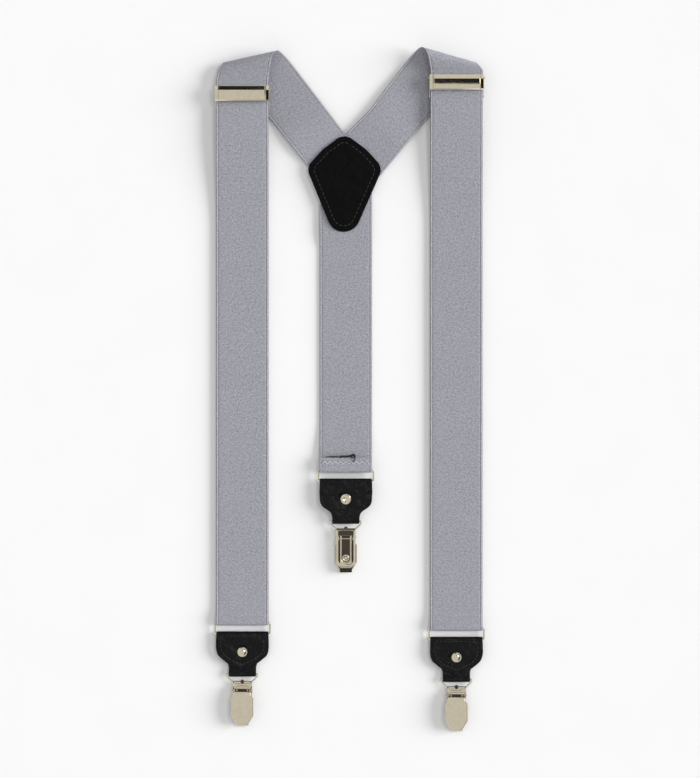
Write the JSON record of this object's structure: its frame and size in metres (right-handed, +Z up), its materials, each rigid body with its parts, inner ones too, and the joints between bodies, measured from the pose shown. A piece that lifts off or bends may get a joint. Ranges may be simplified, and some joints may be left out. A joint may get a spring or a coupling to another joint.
{
  "type": "suspenders",
  "caption": "Y-back clip-on suspenders: wide grey elastic straps with clamp adjusters, a leather yoke patch, wire rings, leather tabs and lever clips.",
  "frame": {"origin": "middle of the base, on the surface that the suspenders lie on", "axes": "+Y from the front clips to the shoulders, +X to the right seen from above, +Z up, out of the front of the straps"},
  "size_m": [0.1806, 0.4548, 0.0126],
  "materials": {
    "webbing": "fine woven elastic with fancy selvedges",
    "leather": "smooth black with a soft sheen",
    "nickel": "polished nickel plate",
    "grip": "dark toothed pad"
  },
  "bodies": {
    "root": {"yoke_patch_front": "leather", "yoke_patch_back": "leather", "back_strap": "webbing", "left_shoulder_strap": "webbing", "right_shoulder_strap": "webbing"},
    "left_slider": {"left_adjuster_frame": "nickel", "left_adjuster_bar": "nickel", "left_adjuster_pin": "nickel"},
    "left_slider_cover": {"left_adjuster_cover": "nickel"},
    "left_strap_end": {"left_strap_loop": "webbing", "left_front_strap": "webbing", "left_return_strap": "webbing"},
    "right_slider": {"right_adjuster_frame": "nickel", "right_adjuster_bar": "nickel", "right_adjuster_pin": "nickel"},
    "right_slider_cover": {"right_adjuster_cover": "nickel"},
    "right_strap_end": {"right_strap_loop": "webbing", "right_front_strap": "webbing", "right_return_strap": "webbing"},
    "left_ring_link": {"left_ring": "nickel"},
    "left_tab_link": {"left_tab": "leather", "left_rivet_cap": "nickel", "left_rivet_base": "nickel"},
    "left_clip_body": {"left_clip_frame": "nickel", "left_clip_pin": "nickel"},
    "left_clip_tongue": {"left_clip_jaw": "nickel", "left_jaw_eyelet": "nickel", "left_jaw_grip": "grip"},
    "left_clip_cover": {"left_clip_lever": "nickel"},
    "right_ring_link": {"right_ring": "nickel"},
    "right_tab_link": {"right_tab": "leather", "right_rivet_cap": "nickel", "right_rivet_base": "nickel"},
    "right_clip_body": {"right_clip_frame": "nickel", "right_clip_pin": "nickel"},
    "right_clip_tongue": {"right_clip_jaw": "nickel", "right_jaw_eyelet": "nickel", "right_jaw_grip": "grip"},
    "right_clip_cover": {"right_clip_lever": "nickel"},
    "back_ring_link": {"back_ring": "nickel"},
    "back_tab_link": {"back_tab": "leather", "back_rivet_cap": "nickel", "back_rivet_base": "nickel"},
    "back_clip_body": {"back_clip_frame": "nickel", "back_clip_pin": "nickel"},
    "back_clip_tongue": {"back_clip_jaw": "nickel", "back_jaw_eyelet": "nickel", "back_jaw_grip": "grip"},
    "back_clip_cover": {"back_clip_lever": "nickel"}
  },
  "joints": [
    {"name": "left_adjuster_slide", "type": "slide", "parent": "root", "child": "left_slider", "axis": [0, -1, 0], "range_m": [0, 0.6]},
    {"name": "left_adjuster_cover_hinge", "type": "hinge", "parent": "left_slider", "child": "left_slider_cover", "pos_m": [-0.07125, 0.19929, 0.0088], "axis": [-1, 0, 0], "range_deg": [0, 90]},
    {"name": "left_loop_slide", "type": "slide", "parent": "left_slider", "child": "left_strap_end", "axis": [0, -1, 0], "range_m": [-0.3, 0], "deforming": ["left_front_strap", "left_return_strap"]},
    {"name": "right_adjuster_slide", "type": "slide", "parent": "root", "child": "right_slider", "axis": [0, -1, 0], "range_m": [0, 0.6]},
    {"name": "right_adjuster_cover_hinge", "type": "hinge", "parent": "right_slider", "child": "right_slider_cover", "pos_m": [0.07125, 0.20679, 0.0088], "axis": [-1, 0, 0], "range_deg": [0, 90]},
    {"name": "right_loop_slide", "type": "slide", "parent": "right_slider", "child": "right_strap_end", "axis": [0, -1, 0], "range_m": [-0.3, 0], "deforming": ["right_front_strap", "right_return_strap"]},
    {"name": "left_ring_hinge", "type": "hinge", "parent": "left_strap_end", "child": "left_ring_link", "pos_m": [-0.07125, -0.15521, 0.0024], "axis": [-1, 0, 0], "range_deg": [-70, 70]},
    {"name": "left_tab_hinge", "type": "hinge", "parent": "left_ring_link", "child": "left_tab_link", "pos_m": [-0.07125, -0.16281, 0.0024], "axis": [-1, 0, 0], "range_deg": [-55, 55]},
    {"name": "left_clip_hinge", "type": "hinge", "parent": "left_tab_link", "child": "left_clip_body", "pos_m": [-0.07125, -0.18946, 0.0024], "axis": [-1, 0, 0], "range_deg": [-40, 40]},
    {"name": "left_lever_hinge", "type": "hinge", "parent": "left_clip_body", "child": "left_clip_cover", "pos_m": [-0.07125, -0.19996, 0.0046], "axis": [-1, 0, 0], "range_deg": [0, 110]},
    {"name": "left_jaw_hinge", "type": "hinge", "parent": "left_clip_body", "child": "left_clip_tongue", "pos_m": [-0.07125, -0.19996, 0.0046], "axis": [-1, 0, 0], "range_deg": [0, 13.2]},
    {"name": "right_ring_hinge", "type": "hinge", "parent": "right_strap_end", "child": "right_ring_link", "pos_m": [0.07125, -0.15881, 0.0024], "axis": [-1, 0, 0], "range_deg": [-70, 70]},
    {"name": "right_tab_hinge", "type": "hinge", "parent": "right_ring_link", "child": "right_tab_link", "pos_m": [0.07125, -0.16641, 0.0024], "axis": [-1, 0, 0], "range_deg": [-55, 55]},
    {"name": "right_clip_hinge", "type": "hinge", "parent": "right_tab_link", "child": "right_clip_body", "pos_m": [0.07125, -0.19306, 0.0024], "axis": [-1, 0, 0], "range_deg": [-40, 40]},
    {"name": "right_lever_hinge", "type": "hinge", "parent": "right_clip_body", "child": "right_clip_cover", "pos_m": [0.07125, -0.20356, 0.0046], "axis": [-1, 0, 0], "range_deg": [0, 110]},
    {"name": "right_jaw_hinge", "type": "hinge", "parent": "right_clip_body", "child": "right_clip_tongue", "pos_m": [0.07125, -0.20356, 0.0046], "axis": [-1, 0, 0], "range_deg": [0, 13.2]},
    {"name": "back_ring_hinge", "type": "hinge", "parent": "root", "child": "back_ring_link", "pos_m": [-0.00235, -0.05341, 0.00415], "axis": [1, 0, 0], "range_deg": [-70, 70]},
    {"name": "back_tab_hinge", "type": "hinge", "parent": "back_ring_link", "child": "back_tab_link", "pos_m": [-0.00235, -0.06101, 0.00415], "axis": [1, 0, 0], "range_deg": [-55, 55]},
    {"name": "back_clip_hinge", "type": "hinge", "parent": "back_tab_link", "child": "back_clip_body", "pos_m": [-0.00235, -0.08766, 0.00415], "axis": [1, 0, 0], "range_deg": [-40, 40]},
    {"name": "back_lever_hinge", "type": "hinge", "parent": "back_clip_body", "child": "back_clip_cover", "pos_m": [-0.00235, -0.09816, 0.00195], "axis": [1, 0, 0], "range_deg": [0, 110]},
    {"name": "back_jaw_hinge", "type": "hinge", "parent": "back_clip_body", "child": "back_clip_tongue", "pos_m": [-0.00235, -0.09816, 0.00195], "axis": [1, 0, 0], "range_deg": [0, 13.2]}
  ],
  "couplings": [
    {"joint": "left_loop_slide", "follows": "left_adjuster_slide", "ratio": -0.5},
    {"joint": "right_loop_slide", "follows": "right_adjuster_slide", "ratio": -0.5},
    {"joint": "left_jaw_hinge", "follows": "left_lever_hinge", "ratio": 0.12},
    {"joint": "right_jaw_hinge", "follows": "right_lever_hinge", "ratio": 0.12},
    {"joint": "back_jaw_hinge", "follows": "back_lever_hinge", "ratio": 0.12}
  ]
}
